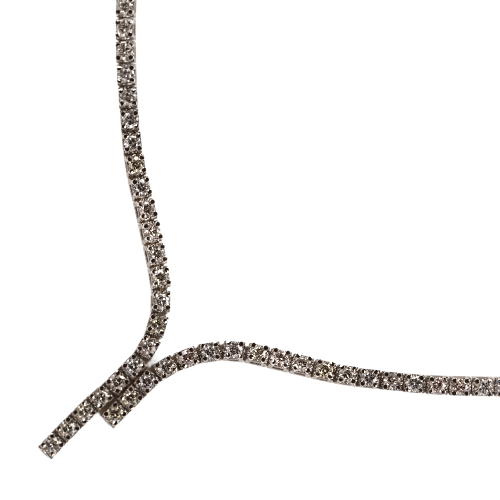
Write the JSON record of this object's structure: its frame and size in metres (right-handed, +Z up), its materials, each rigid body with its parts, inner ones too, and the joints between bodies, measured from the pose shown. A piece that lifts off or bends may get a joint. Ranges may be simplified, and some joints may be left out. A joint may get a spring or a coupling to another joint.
{
  "type": "diamond line necklace",
  "caption": "Line necklace of square four-prong links with round brilliants; two strands meet at a junction with a long and a short tail; a closed loop lying flat.",
  "frame": {"origin": "centre of the whole loop's box, on the surface that the necklace lies on", "axes": "+Z up through the stones' tables, +Y from the tails to the clasp, +X to the right seen from above with the tails nearest"},
  "size_m": [0.1244, 0.1639, 0.003],
  "materials": {
    "white_gold": "polished white gold, slightly warm, darker in the recesses",
    "diamond": "round brilliant cut, polished"
  },
  "bodies": {
    "root": {"left_settings": "white_gold", "left_stones": "diamond", "right_settings": "white_gold", "right_stones": "diamond", "junction_link_upper": "white_gold", "junction_link_lower": "white_gold", "short_tail_link": "white_gold", "long_tail_link_1": "white_gold", "long_tail_link_2": "white_gold", "long_tail_link_3": "white_gold", "long_tail_link_4": "white_gold", "junction_stone_1": "diamond", "junction_stone_2": "diamond", "junction_stone_3": "diamond", "junction_stone_4": "diamond", "short_tail_stone": "diamond", "long_tail_stone_1": "diamond", "long_tail_stone_2": "diamond", "long_tail_stone_3": "diamond", "long_tail_stone_4": "diamond", "clasp": "white_gold"}
  },
  "joints": []
}
